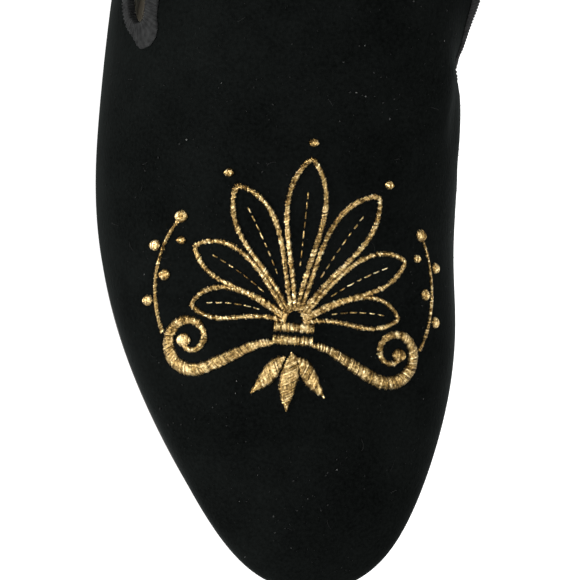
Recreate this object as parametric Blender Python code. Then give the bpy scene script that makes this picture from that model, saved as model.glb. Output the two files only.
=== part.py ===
"""Velvet loafer mule, the right shoe of a pair.

Lengths are in millimetres and d is the distance behind the toe tip, so y = d - LENGTH / 2.
The tables' x is measured from the line through heel and ball; CENTRE_X centres the whole shoe.
The toe points to -Y, the inner side of the foot is +X, the floor is z = 0.
The girth g tells where a point lies round the upper: 0 on the ridge, 1 on the widest line,
SOLE_G at the sole. It is negative on the outer, lateral side.
"""

import math
from collections import namedtuple

import bmesh
import bpy
import numpy as np

MM = 0.001
LENGTH = 260.0
CENTRE_X = 0.4
WALL = 2.0
EDGE_WALL = 1.1
SKIVE_RUN = 14.0
GAP = 0.3
LATERAL, MEDIAL = -1, 1
SOLE_G = 1.25

# The last, a row per section: widest points, their heights, and the ridge
Section = namedtuple("Section", "d lateral medial lateral_z medial_z ridge_x ridge_z")
SECTIONS = [
    Section(0, 8.8, 8.8, 21.0, 21.0, 8.8, 21.0),
    Section(4, -4.4, 21.9, 21.0, 21.0, 9.0, 27.5),
    Section(10, -10.9, 28.2, 20.5, 20.5, 9.3, 31.3),
    Section(20, -17.9, 34.0, 19.5, 19.5, 9.8, 35.5),
    Section(35, -26.2, 39.6, 18.0, 18.0, 10.4, 39.5),
    Section(50, -33.5, 42.9, 17.0, 17.5, 10.8, 43.5),
    Section(65, -38.9, 43.5, 16.5, 18.0, 11.0, 48.0),
    Section(80, -42.6, 42.2, 16.5, 19.0, 11.0, 53.0),
    Section(97, -44.3, 41.6, 17.5, 22.0, 11.0, 59.5),
    Section(115, -44.0, 40.6, 20.0, 26.0, 11.0, 67.0),
    Section(135, -42.8, 38.4, 24.0, 29.5, 11.0, 75.5),
    Section(150, -41.4, 37.0, 27.0, 30.5, 11.0, 81.5),
    Section(172, -39.0, 35.5, 29.0, 30.5, 11.0, 88.5),
    Section(186, -37.6, 34.4, 29.5, 30.5, 11.0, 92.0),
]
ROUNDNESS = {LATERAL: 2.1, MEDIAL: 2.3}

# Plan outline of the sole
SoleRow = namedtuple("SoleRow", "d lateral medial")
SOLE = [
    SoleRow(1.5, 9.0, 9.0),
    SoleRow(4, -0.9, 18.6),
    SoleRow(10, -9.0, 26.4),
    SoleRow(20, -16.3, 32.3),
    SoleRow(35, -25.0, 38.0),
    SoleRow(50, -32.2, 41.1),
    SoleRow(65, -37.7, 42.2),
    SoleRow(80, -41.2, 41.0),
    SoleRow(97, -42.7, 38.8),
    SoleRow(115, -41.8, 35.6),
    SoleRow(135, -38.8, 30.4),
    SoleRow(150, -36.0, 26.6),
    SoleRow(170, -33.0, 24.6),
    SoleRow(190, -31.5, 25.8),
    SoleRow(210, -31.0, 28.0),
    SoleRow(225, -30.6, 29.2),
    SoleRow(240, -28.0, 27.2),
    SoleRow(250, -22.0, 21.6),
    SoleRow(256, -13.8, 13.8),
    SoleRow(260, 0.0, 0.0),
]
SOLE_TOE = SOLE[0].d
SOLE_LENGTH = LENGTH - SOLE_TOE
SOLE_THICK = 4.0
FEATHER_INSET = 0.8

# Underside of the sole, seen from the side
TOE_SPRING = 8.0
FLAT_FROM = 68.0
FLAT_TO = 100.0
HEEL_HEIGHT = 14.0
SEAT_FROM = 212.0

INSOLE_THICK = 3.0
INSOLE_INSET_FRONT = 3.4
INSOLE_INSET_HEEL = 1.0
INSOLE_WIDENS = (181.0, 194.0)

SOLE_FOOT_INSET = 0.4
EDGE_SOFT = 0.5

HEEL_BREAST = 198.0
HEEL_TOP_INSET = 0.6
HEEL_FOOT_INSET = 2.6

# Topline: side notches, tongue and wings
Notch = namedtuple("Notch", "d g")
NOTCH = {LATERAL: Notch(129.0, 0.727), MEDIAL: Notch(122.5, 0.76)}
TOE_G = 0.74
NOTCH_SLOPE = 0.0125
NOTCH_BLUNT = 8.0
NOTCH_ROWS = np.array([0.15, 0.7, 2.2, 4.4])
NOTCH_FRONT = np.array([3.6, 1.6])
NOTCH_PINCH = {LATERAL: 0.6, MEDIAL: 2.0}
PINCH_ALONG = 3.5
PINCH_ROUND = 9.0
GIRTH_MM = 62.0
TONGUE_TIP = 168.0
TONGUE_SQUARE = 2.5
WING_TIP = 178.0
WING_TIP_G = 1.155
WING_FALL = 2.3
WING_OPEN = 2.2
FLARE = {LATERAL: 3.5, MEDIAL: 8.8}
FLARE_RUN = 15.8
FLARE_POWER = 2.4
FLARE_FROM_G = 0.30
FLARE_FULL_G = 0.72
FLARE_CURL = 1.8

TAPE_WIDTH = 3.8
WING_TAPE_WIDTH = 2.2
TAPE_NARROWS = 2.4
MITRE = {LATERAL: 3.7, MEDIAL: 0.4}
MITRE_AT = 0.6
MITRE_RUN = 1.5
TAPE_THICK = 0.45
TAPE_END = 176.5


def spline(xs, ys):
    """Natural cubic through the points, returned as a function."""
    xs = np.asarray(xs, float)
    ys = np.asarray(ys, float)
    count = len(xs)
    step = np.diff(xs)
    matrix = np.eye(count)
    right = np.zeros(count)
    for i in range(1, count - 1):
        matrix[i, i - 1] = step[i - 1]
        matrix[i, i] = 2 * (step[i - 1] + step[i])
        matrix[i, i + 1] = step[i]
        right[i] = 6 * ((ys[i + 1] - ys[i]) / step[i] - (ys[i] - ys[i - 1]) / step[i - 1])
    bend = np.linalg.solve(matrix, right)

    def value(x):
        x = np.asarray(x, float)
        i = np.clip(np.searchsorted(xs, x) - 1, 0, count - 2)
        h = step[i]
        a = xs[i + 1] - x
        b = x - xs[i]
        cubic = (bend[i] * a**3 + bend[i + 1] * b**3) / (6 * h)
        line = (ys[i] / h - bend[i] * h / 6) * a + (ys[i + 1] / h - bend[i + 1] * h / 6) * b
        return cubic + line

    return value


def smooth(t):
    t = np.clip(t, 0, 1)
    return t * t * (3 - 2 * t)


def turn(d, start, length):
    """Angle that runs 0 to pi over a length, so that tables in it close roundly at the ends."""
    return np.arccos(np.clip(1 - 2 * (np.asarray(d, float) - start) / length, -1, 1))


SECTION_TURNS = turn([row.d for row in SECTIONS], 0, LENGTH)
SECTION_CURVES = [
    spline(SECTION_TURNS, [getattr(row, name) for row in SECTIONS]) for name in Section._fields[1:]
]
SOLE_TURNS = turn([row.d for row in SOLE], SOLE_TOE, SOLE_LENGTH)
SOLE_CURVES = {
    LATERAL: spline(SOLE_TURNS, [row.lateral for row in SOLE]),
    MEDIAL: spline(SOLE_TURNS, [row.medial for row in SOLE]),
}


def profile(d):
    """Height of the sole's underside: toe spring, flat forefoot, arch and heel seat."""
    spring = TOE_SPRING * np.clip((FLAT_FROM - d) / (FLAT_FROM - SOLE_TOE), 0, None) ** 2
    arch = HEEL_HEIGHT * smooth((d - FLAT_TO) / (SEAT_FROM - FLAT_TO))
    return spring + arch


def sole_edge(side, d, inset):
    """Plan point of the sole's outline, moved inwards square to it."""
    a = turn(d, SOLE_TOE, SOLE_LENGTH)
    curve = SOLE_CURVES[side]
    dx = (curve(a + 0.01) - curve(a - 0.01)) / 0.02
    dd = SOLE_LENGTH / 2 * np.sin(a)
    size = np.hypot(dx, dd)
    x = curve(a) - inset * side * dd / size
    along = np.asarray(d, float) + inset * side * dx / size
    return x, along


def upper_points(d, g):
    """Outer face of the lasted upper as x, d, z."""
    d, g = np.broadcast_arrays(np.asarray(d, float), np.asarray(g, float))
    a = turn(d, 0, LENGTH)
    lateral, medial, lateral_z, medial_z, ridge_x, ridge_z = [curve(a) for curve in SECTION_CURVES]
    inner = g > 0
    wide_x = np.where(inner, medial, lateral)
    wide_z = np.where(inner, medial_z, lateral_z)
    power = np.where(inner, ROUNDNESS[MEDIAL], ROUNDNESS[LATERAL])
    t = np.sin(np.clip(np.abs(g), 0, 1) * math.pi / 2)
    x = ridge_x + (wide_x - ridge_x) * t
    z = wide_z + (ridge_z - wide_z) * np.sqrt(np.clip(1 - t**power, 0, 1))
    # Below the widest line the wall tucks in to the sole
    u = np.clip((np.abs(g) - 1) / (SOLE_G - 1), 0, 1.2)
    foot = d + SOLE_TOE * np.clip(1 - d / 90, 0, 1)
    lat_x, lat_d = sole_edge(LATERAL, foot, FEATHER_INSET)
    med_x, med_d = sole_edge(MEDIAL, foot, FEATHER_INSET)
    foot_x = np.where(inner, med_x, lat_x)
    foot_d = np.where(inner, med_d, lat_d)
    foot_z = profile(foot_d) + SOLE_THICK + GAP
    x = x + (foot_x - wide_x) * u**2
    along = d + (foot_d - d) * u**2
    z = z + (foot_z - wide_z) * u
    # The wall draws in a little at the notches
    for side in (LATERAL, MEDIAL):
        behind = (d - NOTCH[side].d) / PINCH_ALONG
        below = (side * g - NOTCH[side].g) * GIRTH_MM / PINCH_ROUND
        x = x - side * NOTCH_PINCH[side] * np.exp(-(behind**2) - below**2)
    return np.stack([x, along, z], -1)


def tongue_points(d, g):
    """The upper with the free edges of the tongue flared behind the notches."""
    d, g = np.broadcast_arrays(np.asarray(d, float), np.asarray(g, float))
    points = upper_points(d, g)
    share = np.clip((np.abs(g) - FLARE_FROM_G) / (FLARE_FULL_G - FLARE_FROM_G), 0, None)
    weight = share**FLARE_CURL
    for side in (LATERAL, MEDIAL):
        run = np.clip(d - NOTCH[side].d, 0, None)
        reach = FLARE[side] * (1 - np.exp(-((run / FLARE_RUN) ** FLARE_POWER)))
        lift = np.where(np.sign(g) == side, reach * weight, 0)
        points[..., 0] += side * 0.8 * lift
        points[..., 2] += 0.6 * lift
    return points


def notch_line(side, d):
    """Girth of the line that runs from the toe tip to a notch."""
    return TOE_G + (NOTCH[side].g - TOE_G) * smooth(np.asarray(d, float) / NOTCH[side].d)


def notch_opening(run):
    """Half the girth of the slit, round at its end, a run behind the notch."""
    return NOTCH_SLOPE / 2 * (np.sqrt(run**2 + 2 * run * NOTCH_BLUNT) - run)


def tongue_edge(side, d):
    """Girth of the tongue's free edge, or of the line that runs on from it to the toe."""
    run = np.clip(np.asarray(d, float) - NOTCH[side].d, 0, None)
    part = np.clip(run / (TONGUE_TIP - NOTCH[side].d), 0, 1)
    return (notch_line(side, d) - notch_opening(run)) * np.sqrt(1 - part**TONGUE_SQUARE)


def wing_edge(side, d):
    """Girth of a wing's topline, which falls from the notch to the sole."""
    reach = WING_TIP - NOTCH[side].d
    run = np.clip(np.asarray(d, float) - NOTCH[side].d, 0, None)
    rest = WING_TIP_G - NOTCH[side].g - WING_OPEN * notch_opening(reach)
    return notch_line(side, d) + WING_OPEN * notch_opening(run) + rest * (run / reach) ** WING_FALL


class Skin:
    """Collects faces and joins points that coincide."""

    def __init__(self):
        self.points = []
        self.faces = []
        self.seen = {}

    def point(self, p):
        key = (round(p[0], 4), round(p[1], 4), round(p[2], 4))
        if key not in self.seen:
            self.seen[key] = len(self.points)
            self.points.append(np.array(key))
        return self.seen[key]

    def face(self, corners):
        ring = []
        for k in corners:
            if k not in ring:
                ring.append(k)
        if len(ring) > 2:
            self.faces.append(ring)

    def grid(self, points):
        index = [[self.point(p) for p in row] for row in points]
        for i in range(len(index) - 1):
            for j in range(len(index[0]) - 1):
                self.face([index[i][j], index[i][j + 1], index[i + 1][j + 1], index[i + 1][j]])

    def tube(self, rings, cap_first, cap_last):
        index = [[self.point(p) for p in ring] for ring in rings]
        count = len(index[0])
        for i in range(len(index) - 1):
            for j in range(count):
                k = (j + 1) % count
                self.face([index[i][j], index[i][k], index[i + 1][k], index[i + 1][j]])
        if cap_first:
            self.face(index[0])
        if cap_last:
            self.face(index[-1])


def finish(name, points, faces, colour, roughness):
    """Makes one closed named object of triangles with its own material."""
    mesh = bpy.data.meshes.new(name)
    at = [((p[0] + CENTRE_X) * MM, (p[1] - LENGTH / 2) * MM, p[2] * MM) for p in points]
    mesh.from_pydata(at, [], [list(map(int, f)) for f in faces])
    work = bmesh.new()
    work.from_mesh(mesh)
    bmesh.ops.triangulate(work, faces=work.faces[:])
    bmesh.ops.recalc_face_normals(work, faces=work.faces[:])
    work.to_mesh(mesh)
    work.free()
    part = bpy.data.objects.new(name, mesh)
    bpy.context.scene.collection.objects.link(part)
    material = bpy.data.materials.new(name + "_finish")
    material.use_nodes = True
    shader = material.node_tree.nodes["Principled BSDF"]
    shader.inputs["Base Color"].default_value = (*colour, 1.0)
    shader.inputs["Roughness"].default_value = roughness
    mesh.materials.append(material)
    return part


def thicken(points, faces):
    """Closes an open skin into a wall on its inner side, skived towards the topline."""
    points = np.array(points)
    normals = np.zeros_like(points)
    edges = {}
    for face in faces:
        ring = points[face]
        area = np.zeros(3)
        for k in range(1, len(face) - 1):
            area += np.cross(ring[k] - ring[0], ring[k + 1] - ring[0])
        for k, a in enumerate(face):
            b = face[(k + 1) % len(face)]
            normals[a] += area
            edges[(a, b)] = edges.get((a, b), 0) + 1
    normals /= np.linalg.norm(normals, axis=1)[:, None]
    count = len(points)
    depth = wall_depth(topline_distance(points))[:, None]
    both = np.concatenate([points, points - depth * normals])
    shell = list(faces)
    shell += [[k + count for k in reversed(face)] for face in faces]
    for a, b in edges:
        if (b, a) not in edges:
            shell.append([b, a, a + count, b + count])
    return both, shell


def front_stations(last, count):
    angles = np.linspace(0, float(turn(last, 0, LENGTH)), count)
    return LENGTH / 2 * (1 - np.cos(angles))


def tongue_stations(count):
    start = NOTCH[LATERAL].d
    angles = np.linspace(0, math.radians(84), count)
    return start + (TONGUE_TIP - start) * np.sin(angles)


def make_upper():
    inner, outer = NOTCH[MEDIAL].d, NOTCH[LATERAL].d
    front = np.concatenate([front_stations(inner, 27)[:-1], inner - NOTCH_FRONT, [inner]])
    notches = np.concatenate([inner + NOTCH_ROWS, [outer], outer + NOTCH_ROWS[:-1]])
    tongue_rows = np.concatenate([front, notches, tongue_stations(13)[1:]])
    wing_rows = np.concatenate([front, notches, np.linspace(outer + NOTCH_ROWS[-1], WING_TIP, 11)])
    skin = Skin()
    across = np.linspace(0, 1, 23)[None, :]
    lateral = -tongue_edge(LATERAL, tongue_rows)[:, None]
    medial = tongue_edge(MEDIAL, tongue_rows)[:, None]
    skin.grid(tongue_points(tongue_rows[:, None], lateral + (medial - lateral) * across))
    down = np.linspace(0, 1, 9)[None, :]
    for side in (LATERAL, MEDIAL):
        edge = wing_edge(side, wing_rows)[:, None]
        girth = side * (edge + (SOLE_G - edge) * down)
        points = upper_points(wing_rows[:, None], girth)
        skin.grid(points if side == MEDIAL else points[:, ::-1])
    points, faces = thicken(skin.points, skin.faces)
    return finish("upper", points, faces, (0.008, 0.009, 0.009), 0.9)


def topline():
    """The topline as rows of function, d and g from the lateral wing's end to the medial one's."""
    near = np.array([0.1, 0.4, 0.9, 1.7, 2.8, 4.4, 6.5])
    path = []
    for side in (LATERAL, MEDIAL):
        start = NOTCH[side].d
        wing = np.concatenate([start + near, np.linspace(start + 10, TAPE_END, 9)])
        further = tongue_stations(16)
        flank = np.concatenate([start + near, further[further > start + near[-1] + 2]])
        rows = [(upper_points, d, side * float(wing_edge(side, d))) for d in wing[::-1]]
        rows.append((upper_points, start, side * NOTCH[side].g))
        rows += [(tongue_points, d, side * float(tongue_edge(side, d))) for d in flank]
        path.append(rows)
    end_d = path[0][-1][1]
    left, right = path[0][-1][2], path[1][-1][2]
    tip = [(tongue_points, end_d, g) for g in np.linspace(left, right, 7)[1:-1]]
    return path[0] + tip + path[1][::-1]


def topline_distance(points):
    path = np.array([function(d, g) for function, d, g in topline()])
    start, step = path[:-1], np.diff(path, axis=0)
    off = points[:, None, :] - start
    share = np.clip(np.sum(off * step, -1) / np.sum(step * step, -1), 0, 1)
    return np.linalg.norm(off - share[..., None] * step, axis=-1).min(1)


def wall_depth(distance):
    """Thickness of the upper at a distance from its topline."""
    return EDGE_WALL + (WALL - EDGE_WALL) * smooth(distance / SKIVE_RUN)


def surface_frame(function, d, g):
    """Point, the two partial slopes and the outward normal of a surface function."""
    h = 0.01
    point = function(d, g)
    by_d = (function(d + h, g) - function(d - h, g)) / (2 * h)
    by_g = (function(d, g + h * 0.1) - function(d, g - h * 0.1)) / (0.2 * h)
    normal = np.cross(by_g, by_d)
    return point, by_d, by_g, normal / np.linalg.norm(normal)


def walk(function, d, g, way, length):
    """Goes a length over the surface and returns the point reached and its normal."""
    steps = 8
    for _ in range(steps):
        _, by_d, by_g, normal = surface_frame(function, d, g)
        way = way - normal * np.dot(way, normal)
        way = way / np.linalg.norm(way)
        move = np.linalg.lstsq(np.stack([by_d, by_g], 1), way * length / steps, rcond=None)[0]
        d = d + move[0]
        g = g + move[1]
    point, _, _, normal = surface_frame(function, d, g)
    return point, normal


def tape_width(function, d, g):
    """The tape is wider on the tongue than on the wings, and its folded corner points ahead of a notch."""
    side = MEDIAL if g > 0 else LATERAL
    far = math.hypot(d - NOTCH[side].d, (abs(g) - NOTCH[side].g) * GIRTH_MM)
    if function is not tongue_points:
        far = -far
    share = smooth(far / TAPE_NARROWS)
    corner = MITRE[side] * math.exp(-(((far - MITRE_AT) / MITRE_RUN) ** 2))
    return WING_TAPE_WIDTH + (TAPE_WIDTH - WING_TAPE_WIDTH) * share + corner


def make_binding():
    """Tape folded over the topline: a channel with one flap outside and one inside the wall."""
    path = topline()
    centre = np.array([function(d, g) for function, d, g in path])
    rings = []
    for i, (function, d, g) in enumerate(path):
        before = centre[max(i - 1, 0)]
        after = centre[min(i + 1, len(path) - 1)]
        tangent = (after - before) / np.linalg.norm(after - before)
        point, _, _, normal = surface_frame(function, d, g)
        into = np.cross(tangent, normal)
        into /= np.linalg.norm(into)
        wide = tape_width(function, d, g)
        mid, mid_normal = walk(function, d, g, into, wide / 2)
        low, low_normal = walk(function, d, g, into, wide)
        near, far = GAP, GAP + TAPE_THICK
        low_wall = wall_depth(wide)
        rings.append([
            low + low_normal * far,
            mid + mid_normal * far,
            point + normal * far - into * near,
            point + normal * near - into * far,
            point - normal * (EDGE_WALL + near) - into * far,
            point - normal * (EDGE_WALL + far) - into * near,
            low - low_normal * (low_wall + far),
            low - low_normal * (low_wall + near),
            point - normal * (EDGE_WALL + near) - into * near,
            point + normal * near - into * near,
            mid + mid_normal * near,
            low + low_normal * near,
        ])
    skin = Skin()
    skin.tube(rings, True, True)
    return finish("topline_binding", skin.points, skin.faces, (0.012, 0.012, 0.012), 0.8)


def slab(name, stations, low, high, insets, colour, roughness, breast):
    """A layer between two heights, inside the sole's outline by an inset at its foot and its top."""
    soften = EDGE_SOFT
    skin = Skin()
    rings = []
    columns = np.linspace(0, 1, 4)
    for d in stations:
        ring = []
        foot_inset, top_inset = insets(d)
        levels = [
            (foot_inset + soften, 0.0),
            (foot_inset, soften),
            (top_inset, -soften),
            (top_inset + soften, 0.0),
        ]
        edges = []
        for inset, _ in levels:
            left = np.array(sole_edge(LATERAL, d, inset))
            right = np.array(sole_edge(MEDIAL, d, inset))
            edges.append((left, right))
        left, right = edges[0]
        for c in columns:
            x, along = left + (right - left) * c
            ring.append((x, along, float(low(along))))
        x, along = edges[1][1]
        ring.append((x, along, float(low(along)) + soften))
        x, along = edges[2][1]
        ring.append((x, along, float(high(along)) - soften))
        left, right = edges[3]
        for c in columns[::-1]:
            x, along = left + (right - left) * c
            ring.append((x, along, float(high(along))))
        x, along = edges[2][0]
        ring.append((x, along, float(high(along)) - soften))
        x, along = edges[1][0]
        ring.append((x, along, float(low(along)) + soften))
        rings.append(ring)
    skin.tube(rings, breast, False)
    return finish(name, skin.points, skin.faces, colour, roughness)


def whole_stations(count):
    return SOLE_TOE + SOLE_LENGTH / 2 * (1 - np.cos(np.linspace(0, math.pi, count)))


def make_outsole():
    def insets(d):
        return SOLE_FOOT_INSET, 0.0

    def top(d):
        return profile(d) + SOLE_THICK

    return slab("outsole", whole_stations(47), profile, top, insets, (0.32, 0.19, 0.10), 0.45, False)


def make_insole():
    def insets(d):
        spread = smooth((d - INSOLE_WIDENS[0]) / (INSOLE_WIDENS[1] - INSOLE_WIDENS[0]))
        inset = INSOLE_INSET_FRONT + (INSOLE_INSET_HEEL - INSOLE_INSET_FRONT) * spread
        return inset, inset

    def low(d):
        return profile(d) + SOLE_THICK + GAP

    def high(d):
        return low(d) + INSOLE_THICK

    return slab("insole", whole_stations(47), low, high, insets, (0.44, 0.40, 0.33), 0.5, False)


def make_heel():
    first = float(turn(HEEL_BREAST, SOLE_TOE, SOLE_LENGTH))
    stations = SOLE_TOE + SOLE_LENGTH / 2 * (1 - np.cos(np.linspace(first, math.pi, 16)))

    def insets(d):
        return HEEL_FOOT_INSET, HEEL_TOP_INSET

    def foot(d):
        return 0.0 * d

    def top(d):
        return profile(d) - GAP

    return slab("heel", stations, foot, top, insets, (0.06, 0.04, 0.03), 0.5, True)


for old in list(bpy.data.objects):
    bpy.data.objects.remove(old, do_unlink=True)

make_upper()
make_binding()
make_insole()
make_outsole()
make_heel()
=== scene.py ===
"""Looks of the velvet loafer mule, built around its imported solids.

Lengths in the shape functions are in millimetres and d is the distance behind the toe tip. The
girth g is 0 on the ridge, 1 on the widest line and SOLE_G at the sole, negative on the lateral side.
"""

import math
from collections import namedtuple

import bmesh
import bpy
import numpy as np
from mathutils import Matrix, Vector


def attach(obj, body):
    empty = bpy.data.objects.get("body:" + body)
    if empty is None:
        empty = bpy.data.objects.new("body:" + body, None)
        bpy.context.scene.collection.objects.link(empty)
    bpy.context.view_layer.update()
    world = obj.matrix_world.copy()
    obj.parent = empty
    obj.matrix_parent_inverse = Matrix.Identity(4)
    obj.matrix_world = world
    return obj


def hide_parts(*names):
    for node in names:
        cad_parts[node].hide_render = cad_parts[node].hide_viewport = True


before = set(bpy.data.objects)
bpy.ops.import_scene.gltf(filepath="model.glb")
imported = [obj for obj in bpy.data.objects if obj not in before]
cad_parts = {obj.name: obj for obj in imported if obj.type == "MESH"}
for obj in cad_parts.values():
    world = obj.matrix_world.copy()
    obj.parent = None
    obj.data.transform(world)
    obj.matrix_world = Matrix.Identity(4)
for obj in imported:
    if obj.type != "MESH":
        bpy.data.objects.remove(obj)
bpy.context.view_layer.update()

MM = 0.001
LENGTH = 260.0
CENTRE_X = 0.4
WALL = 2.0
EDGE_WALL = 1.1
SKIVE_RUN = 14.0
VELVET_SHARE = 0.6
LINING_GAP = 0.01
GAP = 0.3
LATERAL, MEDIAL = -1, 1
SOLE_G = 1.25
SOLE_OVERRUN = 1.2
TIP_CLEAR = 1.0

# The last, a row per section: widest points, their heights, and the ridge
Section = namedtuple("Section", "d lateral medial lateral_z medial_z ridge_x ridge_z")
SECTIONS = [Section(*row) for row in (
    (0, 8.8, 8.8, 21.0, 21.0, 8.8, 21.0),
    (4, -4.4, 21.9, 21.0, 21.0, 9.0, 27.5),
    (10, -10.9, 28.2, 20.5, 20.5, 9.3, 31.3),
    (20, -17.9, 34.0, 19.5, 19.5, 9.8, 35.5),
    (35, -26.2, 39.6, 18.0, 18.0, 10.4, 39.5),
    (50, -33.5, 42.9, 17.0, 17.5, 10.8, 43.5),
    (65, -38.9, 43.5, 16.5, 18.0, 11.0, 48.0),
    (80, -42.6, 42.2, 16.5, 19.0, 11.0, 53.0),
    (97, -44.3, 41.6, 17.5, 22.0, 11.0, 59.5),
    (115, -44.0, 40.6, 20.0, 26.0, 11.0, 67.0),
    (135, -42.8, 38.4, 24.0, 29.5, 11.0, 75.5),
    (150, -41.4, 37.0, 27.0, 30.5, 11.0, 81.5),
    (172, -39.0, 35.5, 29.0, 30.5, 11.0, 88.5),
    (186, -37.6, 34.4, 29.5, 30.5, 11.0, 92.0),
)]
ROUNDNESS = {LATERAL: 2.1, MEDIAL: 2.3}

# Plan outline of the sole
SoleRow = namedtuple("SoleRow", "d lateral medial")
SOLE = [SoleRow(*row) for row in (
    (1.5, 9.0, 9.0),
    (4, -0.9, 18.6),
    (10, -9.0, 26.4),
    (20, -16.3, 32.3),
    (35, -25.0, 38.0),
    (50, -32.2, 41.1),
    (65, -37.7, 42.2),
    (80, -41.2, 41.0),
    (97, -42.7, 38.8),
    (115, -41.8, 35.6),
    (135, -38.8, 30.4),
    (150, -36.0, 26.6),
    (170, -33.0, 24.6),
    (190, -31.5, 25.8),
    (210, -31.0, 28.0),
    (225, -30.6, 29.2),
    (240, -28.0, 27.2),
    (250, -22.0, 21.6),
    (256, -13.8, 13.8),
    (260, 0.0, 0.0),
)]
SOLE_TOE = SOLE[0].d
SOLE_LENGTH = LENGTH - SOLE_TOE
SOLE_THICK = 4.0
FEATHER_INSET = 0.8
TOE_FADE = 90.0
SOLE_FOOT_INSET = 0.4
TOE_SPRING = 8.0
FLAT_FROM = 68.0
FLAT_TO = 100.0
HEEL_HEIGHT = 14.0
SEAT_FROM = 212.0
INSOLE_THICK = 3.0
INSOLE_INSET_FRONT = 3.4
INSOLE_INSET_HEEL = 1.0
INSOLE_WIDENS = (181.0, 194.0)
LINING_FOOT_OUTER = 1.9
LINING_FOOT_INNER = 6.0
LINING_FOOT_LOW = 0.06
LINING_FOOT_HIGH = 0.24
LINING_FOOT_END = 181.0
HEEL_BREAST = 198.0
HEEL_TOP_INSET = 0.6
HEEL_FOOT_INSET = 2.6
INSOLE_ROUND = 0.9
SOLE_ROUND = 0.7
HEEL_ROUND = 0.5
SOLE_GROOVES = (0.5,)
HEEL_GROOVES = (0.27, 0.45, 0.63, 0.81)
GROOVE_HALF = 0.10
GROOVE_DEPTH = 0.16

# Topline: side notches, tongue and wings
Notch = namedtuple("Notch", "d g")
NOTCH = {LATERAL: Notch(129.0, 0.727), MEDIAL: Notch(122.5, 0.76)}
TOE_G = 0.74
NOTCH_SLOPE = 0.0125
NOTCH_BLUNT = 8.0
NOTCH_PINCH = {LATERAL: 0.6, MEDIAL: 2.0}
PINCH_ALONG = 3.5
PINCH_ROUND = 9.0
GIRTH_MM = 62.0
TONGUE_TIP = 168.0
TONGUE_SQUARE = 2.5
WING_TIP = 178.0
WING_TIP_G = 1.155
WING_FALL = 2.3
WING_OPEN = 2.2
FLARE = {LATERAL: 3.5, MEDIAL: 8.8}
FLARE_RUN = 15.8
FLARE_POWER = 2.4
FLARE_FROM_G = 0.30
FLARE_FULL_G = 0.72
FLARE_CURL = 1.8
FLARE_OUT = 0.8
FLARE_UP = 0.6
TAPE_WIDTH = 3.8
WING_TAPE_WIDTH = 2.2
TAPE_NARROWS = 2.4
MITRE = {LATERAL: 3.7, MEDIAL: 0.4}
MITRE_AT = 0.6
MITRE_RUN = 1.5
TAPE_THICK = 0.35
TAPE_GAP = 0.04
TAPE_END = 176.5
RIB_PITCH = 0.76
RIB_HEIGHT = 0.24
PICOT = 0.16
HEM_DROP = 0.2
FOLD_ANGLES = (25, 50, 75)

# Rows and columns of the meshes, and where rows start behind the notch or stop before the tip
FRONT_ROWS = 100
NOTCH_ROWS = np.array([0.1, 0.4, 0.9, 1.6, 2.5, 3.6, 4.8])
TONGUE_ROWS = 40
TONGUE_ROWS_FROM = 5.5
TONGUE_STOP = math.radians(88)
TONGUE_COLUMNS = 91
WING_ROWS = 36
WING_ROWS_FROM = 6.2
WING_COLUMNS = 31
TOPLINE_STEPS = 400
TIP_STEPS = 60
FLANK_STOP = math.radians(87)
DISTANCE_PARTS = 40
RIB_STEPS = 6
TAPE_STEPS = 8
SOLE_STATIONS = 181
HEEL_STATIONS = 70
SLAB_COLUMNS = 13
ROUND_ANGLES = (0, 30, 60, 90)
FLAT_COSINE = 0.75

# Camera, from the photograph's outline
CAMERA_TARGET = (-1.2, 70.0, 40.0)
CAMERA_DISTANCE = 450.0
CAMERA_ELEVATION = 77.56
CAMERA_AZIMUTH = -65.0
CAMERA_ROLL = 0.98
CAMERA_LENS = 121.2
SENSOR = 36.0
CLIP_START = 0.01


def spline(xs, ys):
    """Natural cubic through the points, returned as a function."""
    xs = np.asarray(xs, float)
    ys = np.asarray(ys, float)
    count = len(xs)
    step = np.diff(xs)
    matrix = np.eye(count)
    right = np.zeros(count)
    for i in range(1, count - 1):
        matrix[i, i - 1 : i + 2] = step[i - 1], 2 * (step[i - 1] + step[i]), step[i]
        right[i] = 6 * ((ys[i + 1] - ys[i]) / step[i] - (ys[i] - ys[i - 1]) / step[i - 1])
    bend = np.linalg.solve(matrix, right)

    def value(x):
        x = np.asarray(x, float)
        i = np.clip(np.searchsorted(xs, x) - 1, 0, count - 2)
        h = step[i]
        a = xs[i + 1] - x
        b = x - xs[i]
        cubic = (bend[i] * a**3 + bend[i + 1] * b**3) / (6 * h)
        line = (ys[i] / h - bend[i] * h / 6) * a + (ys[i + 1] / h - bend[i + 1] * h / 6) * b
        return cubic + line

    return value


def smooth(t):
    """Eases from 0 to 1, level at both ends."""
    t = np.clip(t, 0, 1)
    return t * t * (3 - 2 * t)


def unit(v):
    """Vectors scaled to length 1."""
    return v / np.maximum(np.linalg.norm(v, axis=-1, keepdims=True), 1e-9)


def turn(d, start, length):
    """Angle that runs 0 to pi over a length, so that tables in it close roundly at the ends."""
    return np.arccos(np.clip(1 - 2 * (np.asarray(d, float) - start) / length, -1, 1))


SECTION_TURNS = turn([row.d for row in SECTIONS], 0, LENGTH)
SECTION_CURVES = [spline(SECTION_TURNS, column) for column in list(zip(*SECTIONS))[1:]]
SOLE_TURNS = turn([row.d for row in SOLE], SOLE_TOE, SOLE_LENGTH)
SOLE_CURVES = {
    LATERAL: spline(SOLE_TURNS, [row.lateral for row in SOLE]),
    MEDIAL: spline(SOLE_TURNS, [row.medial for row in SOLE]),
}


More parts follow.
